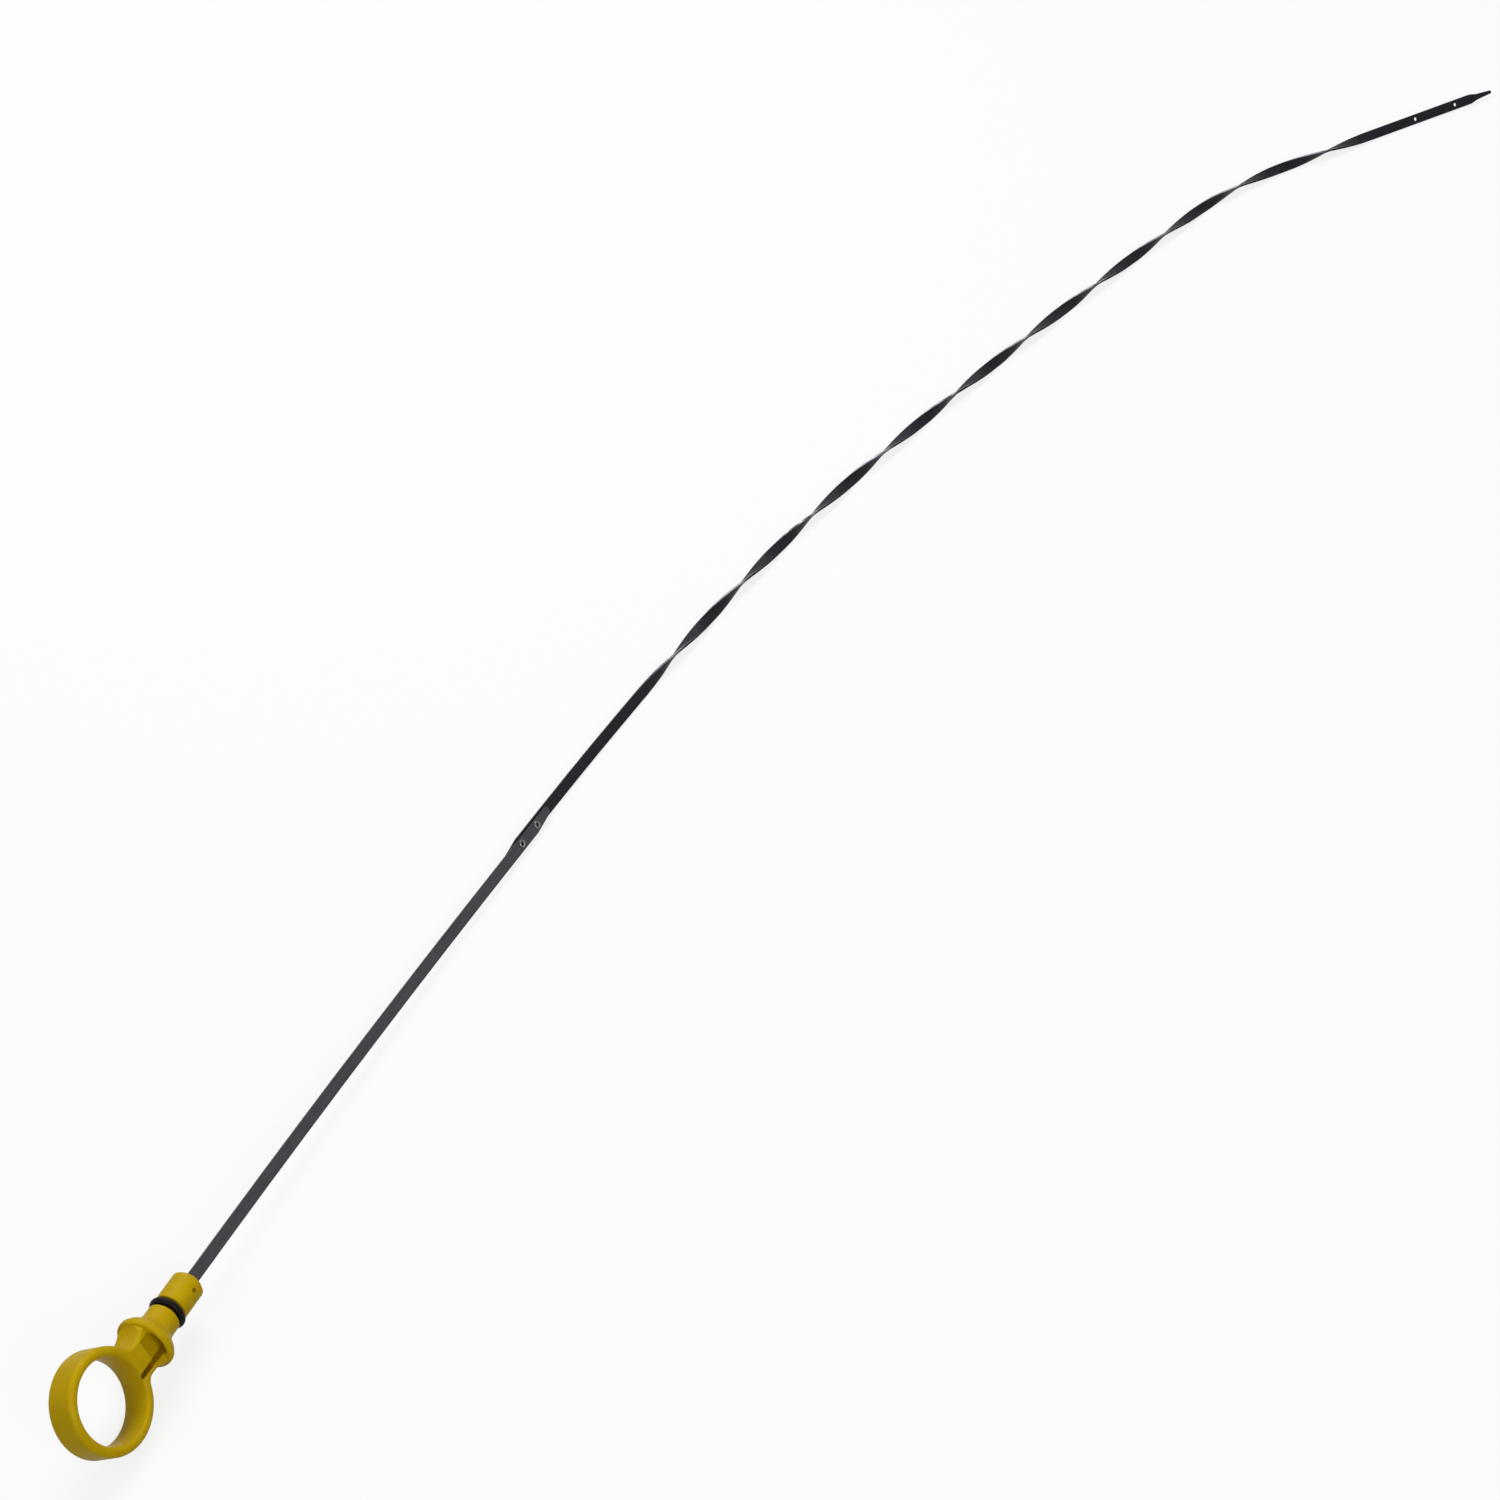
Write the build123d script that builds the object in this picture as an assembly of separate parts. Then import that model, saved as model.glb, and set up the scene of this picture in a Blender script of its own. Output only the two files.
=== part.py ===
from build123d import *
import math
import os

os.makedirs("parts", exist_ok=True)

# Plug end of the handle, in mm. The origin lies on the plug axis, half way along the nose wall.
nose_d = 11.2
nose_wall = 10.7
nose_chamfer = 1.1
groove_w = 3.8
groove_floor_d = 7.7
groove_edge_r = 0.4
shank_run = 3.2
bell_run = 6.0
bell_end_d = 17.6
rim_d = 19.7
rim_slope = 1.6
rim_land = 2.0
rim_front_r = 1.5
rim_back_r = 1.1
window_d = 1.6
window_x = 2.05

# Rubber O-ring in the groove.
cord_d = 2.5
seat_gap = 0.02

# Finger ring, its bore slightly barrelled.
ring_bore_d = 26.1
ring_bore_flare = 1.0
ring_wall = 3.95
ring_depth = 11.2
ring_edge_r = 1.7
ring_bore_edge_r = 1.2
ring_lean = 59.55

# Neck between the bell and the finger ring, nearly as deep as the ring and flared at both ends.
neck_w = 11.8
neck_straight = 1.28
neck_sink = 0.1
neck_edge_r = 1.2
neck_bell_r = 7.3
neck_ring_r = 3.4
neck_bite = 0.2
neck_lap = 0.5

# Recess in each face of the neck, reaching into the bell, and a slot from it along one side.
# A small bevel breaks the edges of its mouth.
web_t = 2.4
recess_w = 8.8
recess_run = 4.0
recess_depth = 5.4
recess_mouth_d = 16.4
recess_floor_d = 8.0
recess_edge = 0.35
slot_w = 1.9
slot_run = 6.6

# Strip steel of both blades.
strip_w = 4.5
strip_t = 1.0
strip_edge_r = 0.22

# Upper blade: seated in a slot of the nose, then bowed over its face as far as the lap.
tang_gap = 0.05
tang_back = 11.1
bow_angle = 4.25
bow_run = 222.6

# Riveted lap, measured from the end of the bow. Both strips end alike, tapered along one side.
lap_run = 29.6
lap_over = 2.4
lap_taper = 1.4
lap_taper_run = 11.0
lap_corner_r = 1.2
lap_shift = 0.6
rivet_first = 8.7
rivet_pitch = 11.4
rivet_d = 2.0
rivet_gap = 0.05
rivet_head_d = 3.4
rivet_head_h = 0.6
rivet_lip_d = 3.2
rivet_lip_h = 0.5
rivet_bore_d = 1.3
rivet_bore_depth = 1.5

# Lower blade: a flat run that bends level, a twisted run that curves in plan, a flat tip.
flat_run = 30.7
level_run = 55.8
first_straight = 12.7
wide_bend = 190.4
wide_turn = 9.92
slow_bend = 222.4
slow_turn = 4.29
tight_bend = 59.5
tight_turn = 18.48
twist_turns = 5
turn_length = 102.4
twist_ease = 22.0
tip_run = 57.0
low_hole_from_tip = 21.4
high_hole_from_tip = 44.7
level_hole_d = 1.8
tip_taper = 13.3
tip_shoulder = 6.5
tip_neck_w = 2.5
tip_end_r = 0.8

# Stations along the plug axis, from the nose back to the middle of the finger ring.
nose_r = nose_d / 2
nose_front = nose_wall / 2 + nose_chamfer
groove_front = -nose_wall / 2
groove_back = groove_front - groove_w
bell_start = groove_back - shank_run
bell_back = bell_start - bell_run
rim_front = bell_back - rim_slope
rim_back = rim_front - rim_land
mouth_r = rim_d / 2 - rim_back_r
waist_x = rim_back - math.sqrt(neck_bell_r**2 - (neck_bell_r - mouth_r + neck_w / 2) ** 2)
flare_x = waist_x - neck_straight
ring_bore_r = ring_bore_d / 2
ring_mouth_r = ring_bore_r + ring_bore_flare
ring_outer_r = ring_bore_r + ring_wall
ring_half = ring_depth / 2
root_r = ring_outer_r - neck_bite
root_angle = math.asin((neck_w / 2 + neck_ring_r) / (root_r + neck_ring_r))
ring_back = (root_r + neck_ring_r) * math.cos(root_angle) - flare_x

# In a thin ring the two edge radii share the flat that lies between them.
edge_share = min(1, (ring_outer_r - ring_mouth_r) / (ring_edge_r + ring_bore_edge_r))
ring_round = ring_edge_r * edge_share

# At rest the finger ring and the twisted run of the blade lie on one level surface.
# The handle leans over, and its plug axis slopes down just as far as that needs.
bow = math.radians(bow_angle)
bow_r = bow_run / bow
bow_end_x = nose_front + bow_r * math.sin(bow)
bow_end_z = bow_r * (1 - math.cos(bow))
blade_reach = math.hypot(strip_w / 2 - strip_edge_r, strip_t / 2 - strip_edge_r) + strip_edge_r


def height_over_rest(slope):
    """Height of the levelled blade over the surface it rests on, for a slope of the plug axis."""
    along_z = -math.sin(slope)
    outward_z = math.cos(math.radians(ring_lean)) * math.cos(slope)
    across_z = math.sin(math.radians(ring_lean)) * math.cos(slope)
    lap_along_z = along_z * math.cos(bow) + outward_z * math.sin(bow)
    lap_outward_z = outward_z * math.cos(bow) - along_z * math.sin(bow)
    turn = math.atan2(-along_z, outward_z) - bow
    lap_z = bow_end_x * along_z + bow_end_z * outward_z + lap_shift * across_z - strip_t * lap_outward_z
    bend_z = (lap_along_z * math.sin(turn) + lap_outward_z * (1 - math.cos(turn))) * level_run / turn
    ring_low = (ring_outer_r - ring_round) * math.sin(math.acos(outward_z))
    ring_low += (ring_half - ring_round) * outward_z + ring_round
    surface_z = -ring_back * along_z - ring_low
    return lap_z + flat_run * lap_along_z + bend_z - surface_z - blade_reach


# The slope is found by halving the span between a level lap and the steepest slope in degrees.
steepest_slope = 10
halvings = 40
least_slope = math.atan(math.tan(bow) * math.cos(math.radians(ring_lean)))
most_slope = math.radians(steepest_slope)
for i in range(halvings):
    middle_slope = (least_slope + most_slope) / 2
    if height_over_rest(middle_slope) > 0:
        least_slope = middle_slope
    else:
        most_slope = middle_slope
plug_slope = math.degrees(middle_slope)
placing = Rot(0, plug_slope, 0) * Rot(ring_lean, 0, 0)
along = (placing * Pos(1, 0, 0)).position
across = (placing * Pos(0, 1, 0)).position
outward = (placing * Pos(0, 0, 1)).position

# Handle: turned plug end with groove, bell and rim.
bell_arc = TangentArc((bell_start, nose_r), (bell_back, bell_end_d / 2), tangent=(-1, 0))
plug_front = Polyline(
    (rim_back, 0),
    (nose_front, 0),
    (nose_front, nose_r - nose_chamfer),
    (nose_wall / 2, nose_r),
    (groove_front, nose_r),
    (groove_front, groove_floor_d / 2),
    (groove_back, groove_floor_d / 2),
    (groove_back, nose_r),
    (bell_start, nose_r),
)
plug_back = Polyline(
    (bell_back, bell_end_d / 2),
    (rim_front, rim_d / 2),
    (rim_back, rim_d / 2),
    (rim_back, 0),
)
plug_section = make_face(plug_front + bell_arc + plug_back)
rounded_corners = [
    (rim_front, rim_d / 2, rim_front_r),
    (rim_back, rim_d / 2, rim_back_r),
    (groove_front, nose_r, groove_edge_r),
    (groove_back, nose_r, groove_edge_r),
]
for x, y, radius in rounded_corners:
    corner = plug_section.vertices().sort_by_distance((x, y, 0))[0]
    plug_section = fillet(corner, radius)
plug = revolve(Plane.XZ * plug_section, Axis.X, 360)

# Handle: finger ring.
ring_bore = ThreePointArc((ring_mouth_r, -ring_half), (ring_bore_r, 0), (ring_mouth_r, ring_half))
ring_side = Polyline(
    (ring_mouth_r, ring_half),
    (ring_outer_r, ring_half),
    (ring_outer_r, -ring_half),
    (ring_mouth_r, -ring_half),
)
ring_section = make_face(ring_bore + ring_side)
ring_section = fillet(ring_section.vertices().group_by(Axis.X)[-1], ring_round)
ring_section = fillet(ring_section.vertices().group_by(Axis.X)[0], ring_bore_edge_r * edge_share)
ring = Pos(-ring_back, 0, 0) * revolve(Plane.XZ * ring_section, Axis.Z, 360)

# Handle: neck outline, flared into the back edge of the rim and into the ring.
neck_front = rim_back + neck_lap
front_y = neck_w / 2 + neck_bell_r - math.sqrt(neck_bell_r**2 - (neck_front - waist_x) ** 2)
root_x = root_r * math.cos(root_angle) - ring_back
root_y = root_r * math.sin(root_angle)
neck_side = TangentArc((waist_x, neck_w / 2), (neck_front, front_y), tangent=(1, 0))
neck_side += Line((waist_x, neck_w / 2), (flare_x, neck_w / 2))
neck_side += TangentArc((flare_x, neck_w / 2), (root_x, root_y), tangent=(-1, 0))
neck_ends = [Line((x, y), (x, -y)) for x, y in ((neck_front, front_y), (root_x, root_y))]
neck_plan = make_face(neck_side + mirror(neck_side, Plane.XZ) + neck_ends)

# Handle: neck body with rounded edges, kept within the round of the rim's back edge.
neck_half = ring_half - neck_sink
neck = extrude(neck_plan, neck_half, both=True)
neck_rims = [e for e in neck.edges() if abs(e.center().Z) > neck_half / 2 and abs(e.center().Y) > neck_w / 4]
neck = fillet(neck_rims, neck_edge_r)
around = Plane.XZ * Pos((flare_x + neck_front) / 2, 1.5 * mouth_r) * Rectangle(neck_front - flare_x, mouth_r)
neck -= revolve(around, Axis.X, 360)

# Handle: recess on both sides of the web, and the slot that runs on from it.
recess_back = rim_back - recess_run
recess_section = Polyline(
    (recess_back, 0),
    (recess_back, ring_outer_r),
    (rim_back, ring_outer_r),
    (rim_back, recess_mouth_d / 2 + recess_edge),
    (rim_back + recess_edge, recess_mouth_d / 2),
    (rim_back + recess_depth, recess_floor_d / 2),
    (rim_back + recess_depth, 0),
    close=True,
)
recess = revolve(Plane.XZ * make_face(recess_section), Axis.X, 360)
recess &= Pos(rim_back, 0, 0) * Box(2 * ring_outer_r, recess_w, 2 * ring_outer_r)
side_y = (slot_w - recess_w) / 2
side_plan = Pos(recess_back - slot_run / 2, side_y) * Rectangle(slot_run, slot_w)
side_plan += Pos(recess_back - slot_run, side_y) * Circle(slot_w / 2)
recess += extrude(side_plan, ring_outer_r, both=True)
recess -= Pos(rim_back, 0, 0) * Box(2 * ring_outer_r, 2 * ring_outer_r, web_t)

# Handle: bevel round the mouth of the recess, wider where the ring stands above the neck.
mouth_bevel = recess_edge + neck_sink
mouth_plan = Pos(rim_back - recess_run / 2, 0) * Rectangle(recess_run, recess_w) + side_plan
mouth_plan = offset(mouth_plan, mouth_bevel, kind=Kind.INTERSECTION)
mouth = Pos(0, 0, ring_half - mouth_bevel) * extrude(mouth_plan, 2 * mouth_bevel)
mouth = chamfer(mouth.edges().group_by(Axis.Z)[0], mouth_bevel)
mouth -= Pos(rim_back + ring_outer_r, 0, 0) * Box(2 * ring_outer_r, 2 * ring_outer_r, 2 * ring_outer_r)
handle = plug + neck + ring - recess - mouth - mirror(mouth, Plane.XY)

# Handle: slot for the tang and the small cross hole that reaches it.
tang_slot = nose_front + tang_back + 2 * tang_gap
tang_hole = Pos(nose_front - tang_slot / 2, 0, 0) * Box(
    tang_slot, strip_w + 2 * tang_gap, strip_t + 2 * tang_gap
)
window = Pos(window_x, 0, 0) * Cylinder(window_d / 2, nose_d)
handle = placing * (handle - tang_hole - window)
export_step(handle, "parts/handle.step")

# O-ring.
cord_mid_r = groove_floor_d / 2 + seat_gap + cord_d / 2
o_ring = placing * Pos(groove_front - groove_w / 2, 0, 0) * Rot(0, 90, 0) * Torus(cord_mid_r, cord_d / 2)
export_step(o_ring, "parts/o_ring.step")

# The bow ends at the lap, whose own frame is used for the rivets and both lapped ends.
bow_end = Pos(bow_end_x, 0, bow_end_z)
lap_place = placing * bow_end * Rot(0, -bow_angle, 0)
lap_along = along * math.cos(bow) + outward * math.sin(bow)
lap_outward = outward * math.cos(bow) - along * math.sin(bow)

# Rivets and the holes they fill.
rivet_places = [Pos(rivet_first + i * rivet_pitch, lap_shift / 2, 0) for i in range(2)]
rivet_holes = [lap_place * spot * Cylinder(rivet_d / 2 + rivet_gap, 6 * strip_t) for spot in rivet_places]
lip_top = strip_t / 2 + rivet_lip_h
head_face = -1.5 * strip_t
lip_mid_r = (rivet_lip_d + rivet_bore_d) / 4
rivet_side = Polyline(
    (0, head_face - rivet_head_h),
    (rivet_head_d / 2 - rivet_head_h, head_face - rivet_head_h),
    (rivet_head_d / 2, head_face),
    (rivet_d / 2, head_face),
    (rivet_d / 2, strip_t / 2),
    (rivet_lip_d / 2, strip_t / 2),
)
rivet_lip = ThreePointArc(
    (rivet_lip_d / 2, strip_t / 2),
    (lip_mid_r, lip_top),
    (rivet_bore_d / 2, strip_t / 2),
)
rivet_bore = Polyline(
    (rivet_bore_d / 2, strip_t / 2),
    (rivet_bore_d / 2, lip_top - rivet_bore_depth),
    (0, lip_top - rivet_bore_depth),
    (0, head_face - rivet_head_h),
)
rivet = revolve(Plane.XZ * make_face(rivet_side + rivet_lip + rivet_bore), Axis.Z, 360)
lap_rivets = Compound([lap_place * spot * rivet for spot in rivet_places])
export_step(lap_rivets, "parts/lap_rivets.step")

strip_section = RectangleRounded(strip_w, strip_t, strip_edge_r)


def strip_end(plan):
    """Flat end of a strip from its plan, with rounded edges all along except at x = 0."""
    end = extrude(plan, strip_t / 2, both=True)
    rim = [e for e in end.edges() if abs(e.center().Z) > strip_t / 4 and e.center().X > strip_edge_r / 10]
    return fillet(rim, strip_edge_r)


def lap_end(length):
    """Flat end of a lapped strip, tapered along its right side, with rounded corners."""
    plan = make_face(
        Polyline(
            (0, strip_w / 2),
            (0, -strip_w / 2),
            (length - lap_taper_run, -strip_w / 2),
            (length, lap_taper - strip_w / 2),
            (length, strip_w / 2),
            close=True,
        )
    )
    return strip_end(fillet(plan.vertices().group_by(Axis.X)[-1], lap_corner_r))


# Upper blade: tang in the slot, bow, and the rounded end on top of the lap.
tang_start = Plane((-tang_back, 0, 0), x_dir=(0, 1, 0), z_dir=(1, 0, 0))
tang = extrude(tang_start * strip_section, tang_back + nose_front)
bow_arc = ThreePointArc(
    (nose_front, 0, 0),
    (nose_front + bow_r * math.sin(bow / 2), 0, bow_r * (1 - math.cos(bow / 2))),
    bow_end.position,
)
bow_plane = Plane((nose_front, 0, 0), x_dir=(0, 1, 0), z_dir=(1, 0, 0))
bowed = sweep(bow_plane * strip_section, path=bow_arc)
upper_blade = placing * (tang + bowed) + lap_place * lap_end(lap_run) - rivet_holes
export_step(upper_blade, "parts/upper_blade.step")

# Lower blade: the flat run behind the upper blade, then a bend over its face until it runs level.
level_angle = math.atan2(-along.Z, outward.Z) - bow
level_r = level_run / level_angle
lap_corner = (lap_place * Pos(0, lap_shift, -strip_t)).position
lapped = lap_place * Pos(flat_run, lap_shift, -strip_t) * Rot(0, 0, 180) * lap_end(flat_run + lap_over)
lapped -= rivet_holes
bend_from = lap_corner + lap_along * flat_run


def on_level_bend(angle):
    """Point of the levelling bend at an angle from its start."""
    forward = lap_along * (level_r * math.sin(angle))
    return bend_from + forward + lap_outward * (level_r * (1 - math.cos(angle)))


level_end = on_level_bend(level_angle)
level_arc = ThreePointArc(bend_from, on_level_bend(level_angle / 2), level_end)
levelled = sweep(Plane(bend_from, x_dir=across, z_dir=lap_along) * strip_section, path=level_arc)

# Lower blade: plan runs after the levelling bend, each a length and a turn to the right.
plan_runs = [
    (first_straight, 0.0),
    (wide_bend, wide_turn),
    (slow_bend, slow_turn),
    (tight_bend, tight_turn),
]
level_way = lap_along * math.cos(level_angle) + lap_outward * math.sin(level_angle)
first_heading = math.atan2(level_way.Y, level_way.X)
left_start = Vector(-math.sin(first_heading), math.cos(first_heading), 0)
first_roll = math.atan2(across.Z, across.dot(left_start))


def station(run):
    """Point and heading at a distance along the level runs."""
    x, y, heading = level_end.X, level_end.Y, first_heading
    left = run
    for length, turn in plan_runs + [(math.inf, 0.0)]:
        step = min(left, length)
        bend = -math.radians(turn) * step / length
        chord = step if bend == 0 else step * math.sin(bend / 2) / (bend / 2)
        x += chord * math.cos(heading + bend / 2)
        y += chord * math.sin(heading + bend / 2)
        heading += bend
        left -= step
        if left <= 0:
            break
    return Vector(x, y, level_end.Z), heading


def section_plane(run, twist):
    """Plane square to the blade, turned about the blade by the twist."""
    point, heading = station(run)
    forward = Vector(math.cos(heading), math.sin(heading), 0)
    sideways = Vector(-math.sin(heading), math.cos(heading), 0)
    roll = first_roll + math.radians(twist)
    width_way = sideways * math.cos(roll) + Vector(0, 0, 1) * math.sin(roll)
    return Plane(point, x_dir=width_way, z_dir=forward)


# Lower blade: right-handed twist, easing in and out over a short run at each end.
twist_run = twist_turns * turn_length + twist_ease


def twist_at(run):
    """Twist in degrees at a distance into the twisted run."""
    into = min(run, twist_ease)
    out_of = max(run - twist_run + twist_ease, 0)
    full = run - into - out_of
    eased = into**2 / (2 * twist_ease) + out_of - out_of**2 / (2 * twist_ease)
    return 360 / turn_length * (full + eased)


steps = twist_turns * 24
twist_planes = []
for i in range(steps + 1):
    run = twist_run * i / steps
    twist_planes.append(section_plane(first_straight + run, twist_at(run)))
twisted = loft([plane * strip_section for plane in twist_planes])
entry = extrude(section_plane(0, 0) * strip_section, first_straight)

# Lower blade: flat tip with two level holes and a narrowed, rounded end.
tip_start = section_plane(first_straight + twist_run, 360 * twist_turns)
tip_plane = Plane(tip_start.origin, x_dir=tip_start.z_dir, z_dir=tip_start.z_dir.cross(tip_start.x_dir))
shoulder_x = tip_run - tip_taper
neck_x = shoulder_x + tip_shoulder
mid_x = shoulder_x + tip_shoulder / 2
mid_y = (strip_w + tip_neck_w) / 4
end_x = tip_run - tip_end_r
tip_side = Polyline((0, strip_w / 2), (shoulder_x, strip_w / 2))
tip_side += TangentArc((shoulder_x, strip_w / 2), (mid_x, mid_y), tangent=(1, 0))
tip_side += TangentArc((neck_x, tip_neck_w / 2), (mid_x, mid_y), tangent=(-1, 0))
tip_side += Line((neck_x, tip_neck_w / 2), (end_x, tip_end_r))
tip_round = ThreePointArc((end_x, tip_end_r), (tip_run, 0), (end_x, -tip_end_r))
tip_back = Line((0, -strip_w / 2), (0, strip_w / 2))
tip = strip_end(make_face(tip_side + mirror(tip_side, Plane.XZ) + tip_round + tip_back))
for from_tip in (low_hole_from_tip, high_hole_from_tip):
    tip -= Pos(tip_run - from_tip, 0, 0) * Cylinder(level_hole_d / 2, 2 * strip_t)
lower_blade = lapped + levelled + entry + twisted + tip_plane * tip
export_step(lower_blade, "parts/lower_blade.step")
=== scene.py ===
import math

import bpy
import numpy as np
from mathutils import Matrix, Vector

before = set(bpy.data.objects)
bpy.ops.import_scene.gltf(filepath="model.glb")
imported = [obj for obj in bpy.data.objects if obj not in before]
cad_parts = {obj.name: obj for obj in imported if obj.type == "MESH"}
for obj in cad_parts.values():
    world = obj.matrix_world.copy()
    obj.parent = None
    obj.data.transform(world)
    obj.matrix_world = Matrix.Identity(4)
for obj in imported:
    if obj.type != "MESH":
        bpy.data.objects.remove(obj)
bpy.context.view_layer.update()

# Places and sizes taken from the part, in metres.
# The plug's axis slopes, and the ring leans about it.
plug_slope = math.radians(3.5987)
ring_lean = math.radians(59.55)
strip_half_w = 0.00225
floor_z = -0.01393

# The camera stands where the photograph was taken from. Its turn is in degrees, its lens in mm.
camera_place = (-0.542878, -0.468603, 0.80534)
camera_turn = (49.1061, 3.4243, -67.8529)
camera_lens = 79.482
sensor_width = 36.0
nearest_seen = 0.01

# Floor and light: half the floor's side, the share of plain white in the floor as it is seen,
# and the strength and tint of the light that reaches the object from all round.
floor_half = 4.0
floor_glow = 0.82
room_light = 0.18
room_tint = (1.0, 0.93, 0.95, 1.0)

# Colours, as linear red, green and blue.
yellow_lit = (0.585, 0.405, 0.002, 1.0)
yellow_deep = (0.555, 0.362, 0.001, 1.0)
rubber_black = (0.003, 0.0025, 0.003, 1.0)
rubber_brown = (0.009, 0.0055, 0.004, 1.0)
steel_grey = (0.028, 0.027, 0.036, 1.0)
steel_pale = (0.060, 0.059, 0.072, 1.0)
# Painted shade: the dark colour of the upper blade's edges, where its sides lie in shadow.
steel_edge_shade = (0.014, 0.014, 0.019, 1.0)
rivet_bright = (0.20, 0.20, 0.21, 1.0)
rivet_dull = (0.07, 0.07, 0.075, 1.0)
blade_black = (0.0070, 0.0071, 0.0095, 1.0)
blade_blue = (0.0160, 0.0160, 0.0245, 1.0)
# Pale edge colour of the twist: worn metal, and a painted highlight where the edges face up or
# down.
edge_wear_and_glint = (0.45, 0.465, 0.50, 1.0)
floor_white = (0.95, 0.95, 0.95, 1.0)
floor_bounce = (0.2, 0.2, 0.2, 1.0)
plain_white = (1.0, 1.0, 1.0, 1.0)

# Across the upper blade, from edge to edge, and how far in from an edge its painted edge shade
# fades.
lean_up = math.sin(ring_lean)
across = (lean_up * math.sin(plug_slope), math.cos(ring_lean), lean_up * math.cos(plug_slope))
edge_shade_starts = 0.0005
edge_shade_full = 0.0001

# Line of the twisted blade: its start in plan, its height, its first heading in radians, its first
# straight, then the lengths of its bends and their turns to the right in degrees.
twist_line_start = (0.314947, -0.012657)
twist_line_z = -0.011655
twist_line_heading = -0.10637
first_straight = 0.0127
bend_lengths = (0.1904, 0.2224, 0.0595)
bend_turns = (9.92, 4.29, 18.48)
twist_run = 0.534

# Wear and a painted highlight on the narrow edges of the twist: how far inside the half width
# they start, how far beyond it they are full, and the lengths over which they come in after the lap
# and go out before the tip.
wear_glint_starts_inside = 0.00008
wear_glint_full_beyond = 0.00001
wear_glint_comes_in = 0.03
wear_glint_goes_out = 0.015


def feed(owner, target, value):
    """Links an input to the output of a node, or sets it to a constant."""
    if isinstance(value, bpy.types.NodeSocket):
        owner.node_tree.links.new(value, target)
    else:
        target.default_value = value


def add_node(owner, kind, output, inputs=None, **options):
    """Output of a new node, with its options set and its inputs fed by name or number."""
    node = owner.node_tree.nodes.new(kind)
    for option, choice in options.items():
        setattr(node, option, choice)
    for name, value in (inputs or {}).items():
        feed(owner, node.inputs[name], value)
    return node.outputs[output]


def new_material(name):
    """Material with a Principled shader."""
    material = bpy.data.materials.new(name)
    material.use_nodes = True
    return material


def set_looks(material, looks):
    """Feeds the inputs of the material's shader by name."""
    shader = material.node_tree.nodes["Principled BSDF"]
    for name, value in looks.items():
        feed(material, shader.inputs[name], value)


def calculate(owner, operation, *values):
    """One operation on numbers."""
    return add_node(owner, "ShaderNodeMath", "Value", dict(enumerate(values)), operation=operation)


def calculate_vector(owner, operation, output, *vectors):
    """One operation on vectors, which gives a vector or a number."""
    inputs = dict(enumerate(vectors))
    return add_node(owner, "ShaderNodeVectorMath", output, inputs, operation=operation)


def product(owner, *values):
    """All the values multiplied together."""
    result = values[0]
    for value in values[1:]:
        result = calculate(owner, "MULTIPLY", result, value)
    return result


def weigh(owner, first, second, share):
    """A share of the first value plus the rest of the second."""
    return calculate(owner, "ADD", product(owner, first, share), product(owner, second, 1 - share))


def blend_colours(owner, factor, first, second):
    """Colour that goes from the first to the second as the factor goes from 0 to 1."""
    inputs = {"Factor": factor, "A": first, "B": second}
    return add_node(owner, "ShaderNodeMix", "Result", inputs, data_type="RGBA")


def between(owner, factor, low, high):
    """Value that goes evenly from low to high as the factor goes from 0 to 1."""
    inputs = {"Value": factor, "To Min": low, "To Max": high}
    return add_node(owner, "ShaderNodeMapRange", "Result", inputs)


def step_up(owner, value, start, end):
    """Value that climbs in a smooth S from 0 at start to 1 at end."""
    inputs = {"Value": value, "From Min": start, "From Max": end}
    return add_node(
        owner, "ShaderNodeMapRange", "Result", inputs, interpolation_type="SMOOTHSTEP")


def object_place(material):
    """Object coordinates of the piece."""
    return add_node(material, "ShaderNodeTexCoord", "Object")


def mottled(material, scale, detail, low, high, stretch=(1, 1, 1)):
    """Noise on stretched Object coordinates, mapped to run from 0 at low to 1 at high."""
    place = add_node(
        material, "ShaderNodeMapping", "Vector",
        {"Vector": object_place(material), "Scale": stretch})
    noise = add_node(
        material, "ShaderNodeTexNoise", "Fac",
        {"Vector": place, "Scale": scale, "Detail": detail})
    return add_node(
        material, "ShaderNodeMapRange", "Result",
        {"Value": noise, "From Min": low, "From Max": high})


def bumpy(material, height, strength, distance):
    """Normal of a surface that rises by the distance as the height goes from 0 to 1."""
    inputs = {"Height": height, "Strength": strength, "Distance": distance}
    return add_node(material, "ShaderNodeBump", "Normal", inputs)


def seen_directly(owner):
    """1 on camera, gloss and transmission rays, 0 on the rays that carry light to the object."""
    camera_ray = add_node(owner, "ShaderNodeLightPath", "Is Camera Ray")
    gloss_ray = add_node(owner, "ShaderNodeLightPath", "Is Glossy Ray")
    transmission_ray = add_node(owner, "ShaderNodeLightPath", "Is Transmission Ray")
    camera_or_gloss = calculate(owner, "MAXIMUM", camera_ray, gloss_ray)
    return calculate(owner, "MAXIMUM", camera_or_gloss, transmission_ray)


def bend_circles():
    """Centre, radius and first x of each bend of the twisted blade's line in plan.

    A bend's radius is its length over its turn, and its centre lies that far to the right of its
    start. The place where the last bend ends and the heading there come after the circles."""
    x, y = twist_line_start
    heading = twist_line_heading
    x += first_straight * math.cos(heading)
    y += first_straight * math.sin(heading)
    circles = []
    for length, turn in zip(bend_lengths, bend_turns):
        angle = math.radians(turn)
        radius = length / angle
        centre = (x + radius * math.sin(heading), y - radius * math.cos(heading))
        circles.append((centre, radius, x))
        heading -= angle
        x = centre[0] - radius * math.sin(heading)
        y = centre[1] + radius * math.cos(heading)
    return circles, (x, y), heading


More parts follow.
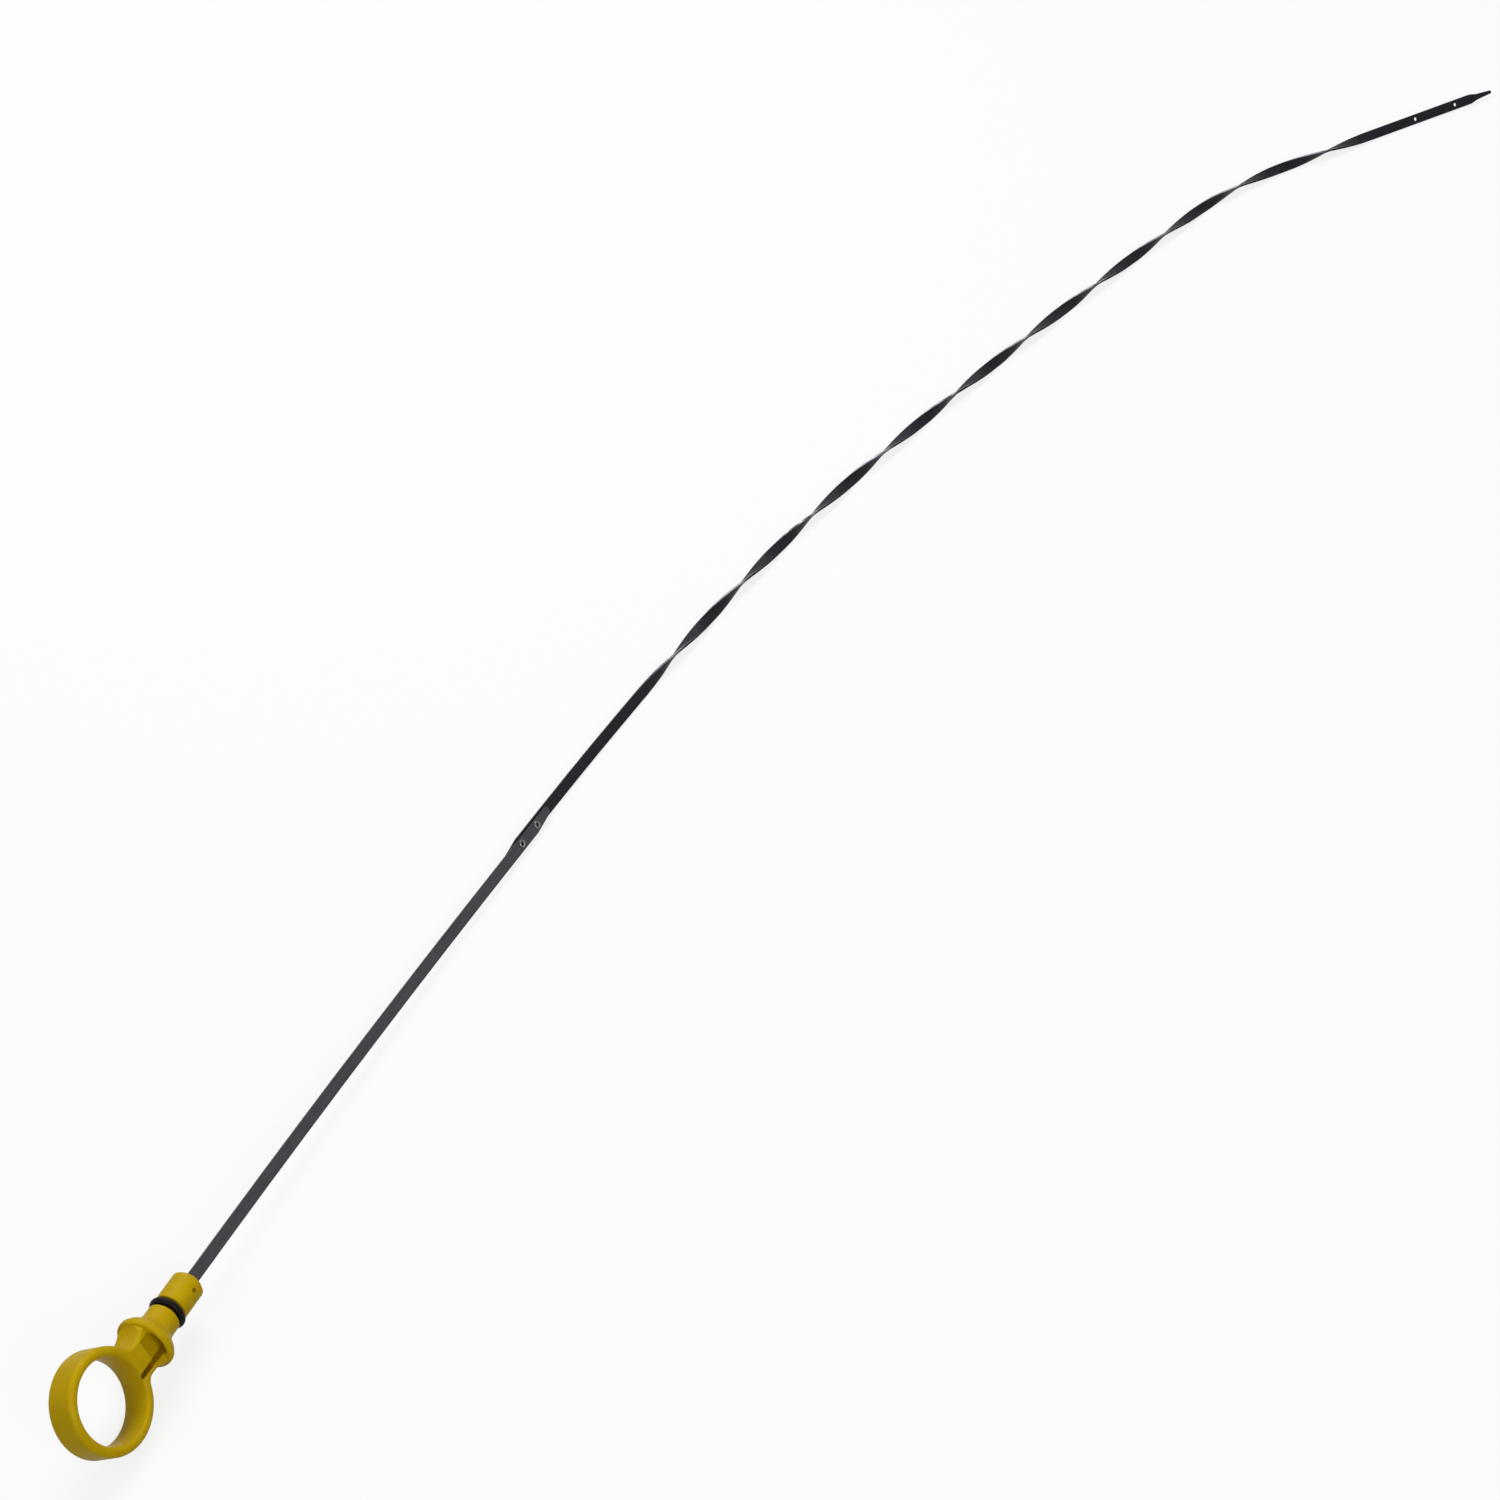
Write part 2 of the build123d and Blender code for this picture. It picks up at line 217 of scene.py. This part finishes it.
def reach_from_line(material):
    """Distance of a point from the line of the twisted blade.

    It is the length of two legs. One is how far the point lies aside in plan: the distance from the
    bend's centre less the radius, or on the last straight the distance to its left. The other is
    how far it lies above the line."""
    place = object_place(material)
    x = add_node(material, "ShaderNodeSeparateXYZ", "X", {"Vector": place})
    z = add_node(material, "ShaderNodeSeparateXYZ", "Z", {"Vector": place})
    plan = calculate_vector(material, "MULTIPLY", "Vector", place, (1, 1, 0))
    circles, (last_x, last_y), heading = bend_circles()
    offsets = []
    for centre, radius, start_x in circles:
        from_centre = calculate_vector(material, "DISTANCE", "Value", plan, (*centre, 0))
        offsets.append((calculate(material, "SUBTRACT", from_centre, radius), start_x))
    leftward = (-math.sin(heading), math.cos(heading), 0)
    left = calculate_vector(material, "DOT_PRODUCT", "Value", plan, leftward)
    line_left = last_x * leftward[0] + last_y * leftward[1]
    offsets.append((calculate(material, "SUBTRACT", left, line_left), last_x))
    aside = offsets[0][0]
    for offset, start_x in offsets[1:]:
        past_start = calculate(material, "GREATER_THAN", x, start_x)
        inputs = {"Factor": past_start, "A": aside, "B": offset}
        aside = add_node(material, "ShaderNodeMix", "Result", inputs, data_type="FLOAT")
    above = calculate(material, "SUBTRACT", z, twist_line_z)
    legs = add_node(material, "ShaderNodeCombineXYZ", "Vector", {"X": aside, "Y": above})
    return calculate_vector(material, "LENGTH", "Value", legs)


def along_twist(material):
    """1 along the twisted run: a climb at its start times a climb back from its end, both in x."""
    x = add_node(material, "ShaderNodeSeparateXYZ", "X", {"Vector": object_place(material)})
    circles, (last_x, _), heading = bend_circles()
    start_x = circles[0][2]
    end_x = last_x + (twist_run - sum(bend_lengths)) * math.cos(heading)
    after_start = step_up(material, x, start=start_x, end=start_x + wear_glint_comes_in)
    before_end = step_up(material, x, start=end_x, end=end_x - wear_glint_goes_out)
    return product(material, after_start, before_end)


def moulded_yellow():
    """Satin yellow plastic: cloudy colour, a fine spark-eroded grain, soft gloss."""
    material = new_material("moulded_yellow")
    cloud = mottled(material, scale=160, detail=3, low=0.3, high=0.7)
    grain = mottled(material, scale=2600, detail=2, low=0.2, high=0.8)
    set_looks(material, {
        "Base Color": blend_colours(material, cloud, yellow_lit, yellow_deep),
        "Roughness": between(material, cloud, low=0.42, high=0.5),
        "Normal": bumpy(material, grain, strength=0.12, distance=0.00005),
        "Specular IOR Level": 0.07,
    })
    return material


def seal_rubber():
    """Black rubber with a brownish bloom."""
    material = new_material("seal_rubber")
    bloom = mottled(material, scale=260, detail=3, low=0.4, high=0.7)
    set_looks(material, {
        "Base Color": blend_colours(material, bloom, rubber_black, rubber_brown),
        "Roughness": between(material, bloom, low=0.4, high=0.55),
        "Specular IOR Level": 0.09,
    })
    return material


def grey_steel():
    """Dull grey strip steel: streaks along the strip, cloudy stains, and a painted shade line at
    each edge.

    A point's distance from the strip's middle is the size of its place measured across."""
    material = new_material("grey_steel")
    streak = mottled(material, scale=60, detail=4, low=0.35, high=0.65, stretch=(1, 14, 14))
    stain = mottled(material, scale=170, detail=4, low=0.35, high=0.65)
    tone = weigh(material, streak, stain, share=0.6)
    steel = blend_colours(material, tone, steel_grey, steel_pale)
    sideways = calculate_vector(
        material, "DOT_PRODUCT", "Value", object_place(material), across)
    # Painted shade: the colour darkens to a line along each edge of the blade.
    edge = step_up(
        material, calculate(material, "ABSOLUTE", sideways),
        start=strip_half_w - edge_shade_starts, end=strip_half_w - edge_shade_full)
    set_looks(material, {
        "Base Color": blend_colours(material, edge, steel, steel_edge_shade),
        "Roughness": between(material, tone, low=0.40, high=0.55),
        "Normal": bumpy(material, streak, strength=0.15, distance=0.00004),
        "Specular IOR Level": 0.35,
    })
    return material


def rivet_steel():
    """Bright rolled-over rivets, dulled in patches."""
    material = new_material("rivet_steel")
    dull = mottled(material, scale=900, detail=3, low=0.35, high=0.65)
    set_looks(material, {
        "Base Color": blend_colours(material, dull, rivet_bright, rivet_dull),
        "Roughness": between(material, dull, low=0.28, high=0.45),
        "Metallic": 0.85,
    })
    return material


def black_steel_wear_and_glint():
    """Blackened strip steel with fine streaks, worn to the metal in patches at the edges of the
    twist, which also carry a painted highlight.

    The pale share is the product of four: how near the point lies to a half width from the blade's
    line, whether it is on the twist, how much it faces up or down, which paints the highlight, and
    the patches."""
    material = new_material("black_steel_wear_and_glint")
    streak = mottled(material, scale=70, detail=5, low=0.38, high=0.68, stretch=(1, 10, 10))
    patch = mottled(material, scale=55, detail=3, low=0.3, high=0.6)
    stain = mottled(material, scale=150, detail=4, low=0.35, high=0.65)
    tone = weigh(material, streak, stain, share=0.5)
    black = blend_colours(material, tone, blade_black, blade_blue)
    edge = step_up(
        material, reach_from_line(material),
        start=strip_half_w - wear_glint_starts_inside, end=strip_half_w + wear_glint_full_beyond)
    facing = add_node(material, "ShaderNodeNewGeometry", "Normal")
    upright = calculate_vector(material, "DOT_PRODUCT", "Value", facing, (0, 0, 1))
    # Painted highlight: edges that face up or down are made paler and more metallic.
    upright_glint = step_up(material, calculate(material, "ABSOLUTE", upright), start=0.6, end=0.92)
    patchy = between(material, patch, low=0.5, high=1.0)
    wear_and_glint_share = product(material, edge, along_twist(material), upright_glint, patchy)
    set_looks(material, {
        "Base Color": blend_colours(material, wear_and_glint_share, black, edge_wear_and_glint),
        "Metallic": wear_and_glint_share,
        "Roughness": between(material, tone, low=0.36, high=0.6),
        "Normal": bumpy(material, streak, strength=0.12, distance=0.00003),
        "Specular IOR Level": 0.12,
    })
    return material


def floor_finish():
    """White floor that keeps a soft shadow, and throws back less light than it shows."""
    material = new_material("floor_white")
    nodes = material.node_tree.nodes
    seen = seen_directly(material)
    set_looks(material, {
        "Base Color": blend_colours(material, seen, floor_bounce, floor_white),
        "Roughness": 0.9,
        "Specular IOR Level": 0.0,
    })
    lit = nodes["Principled BSDF"].outputs["BSDF"]
    glow = add_node(material, "ShaderNodeEmission", "Emission", {"Color": plain_white})
    share = between(material, seen, low=0, high=floor_glow)
    surface = add_node(material, "ShaderNodeMixShader", "Shader", {"Fac": share, 1: lit, 2: glow})
    feed(material, nodes["Material Output"].inputs["Surface"], surface)
    return material


def dress(piece, material):
    """Puts a material on a node of the part."""
    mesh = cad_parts[piece].data
    mesh.materials.clear()
    mesh.materials.append(material)


def add_light(name, place, target, size, power):
    """Square soft light at a place, facing a target and hidden from the camera."""
    lamp = bpy.data.lights.new(name, "AREA")
    lamp.size = size
    lamp.energy = power
    light = bpy.data.objects.new(name, lamp)
    light.visible_camera = False
    light.location = place
    facing = Vector(target) - Vector(place)
    light.rotation_euler = facing.to_track_quat("-Z", "Y").to_euler()
    bpy.context.scene.collection.objects.link(light)


dress("handle", moulded_yellow())
dress("o_ring", seal_rubber())
dress("upper_blade", grey_steel())
dress("lap_rivets", rivet_steel())
dress("lower_blade", black_steel_wear_and_glint())

# Floor: one square under the part.
floor_mesh = bpy.data.meshes.new("floor")
corners = np.array([(-1, -1), (1, -1), (1, 1), (-1, 1)]) * floor_half
floor_mesh.from_pydata([(x, y, floor_z) for x, y in corners], [], [(0, 1, 2, 3)])
floor_mesh.materials.append(floor_finish())
floor = bpy.data.objects.new("floor", floor_mesh)
bpy.context.scene.collection.objects.link(floor)

# Lights, with places and sizes in metres and powers in watts.
add_light("key_light", place=(0.9, 0.45, 1.4), target=(0.1, -0.03, 0), size=1.0, power=17)
add_light("side_light", place=(-1.15, 0.576, 0.99), target=(0, 0, 0), size=0.8, power=3)
add_light("front_light", place=(-1.016, -1.5, 1.247), target=(0, 0, 0), size=0.8, power=19)

# Room: plain white where it is seen, dimmer and tinted as light on the object.
world = bpy.data.worlds.new("studio")
world.use_nodes = True
bpy.context.scene.world = world
backdrop = world.node_tree.nodes["Background"]
seen = seen_directly(world)
feed(world, backdrop.inputs["Color"], blend_colours(world, seen, room_tint, plain_white))
feed(world, backdrop.inputs["Strength"], between(world, seen, low=room_light, high=1))

camera = bpy.data.objects.new("camera", bpy.data.cameras.new("camera"))
camera.data.sensor_width = sensor_width
camera.data.lens = camera_lens
camera.data.clip_start = nearest_seen
camera.location = camera_place
camera.rotation_euler = [math.radians(angle) for angle in camera_turn]
bpy.context.scene.collection.objects.link(camera)
bpy.context.scene.camera = camera
bpy.context.scene.view_settings.view_transform = "Standard"
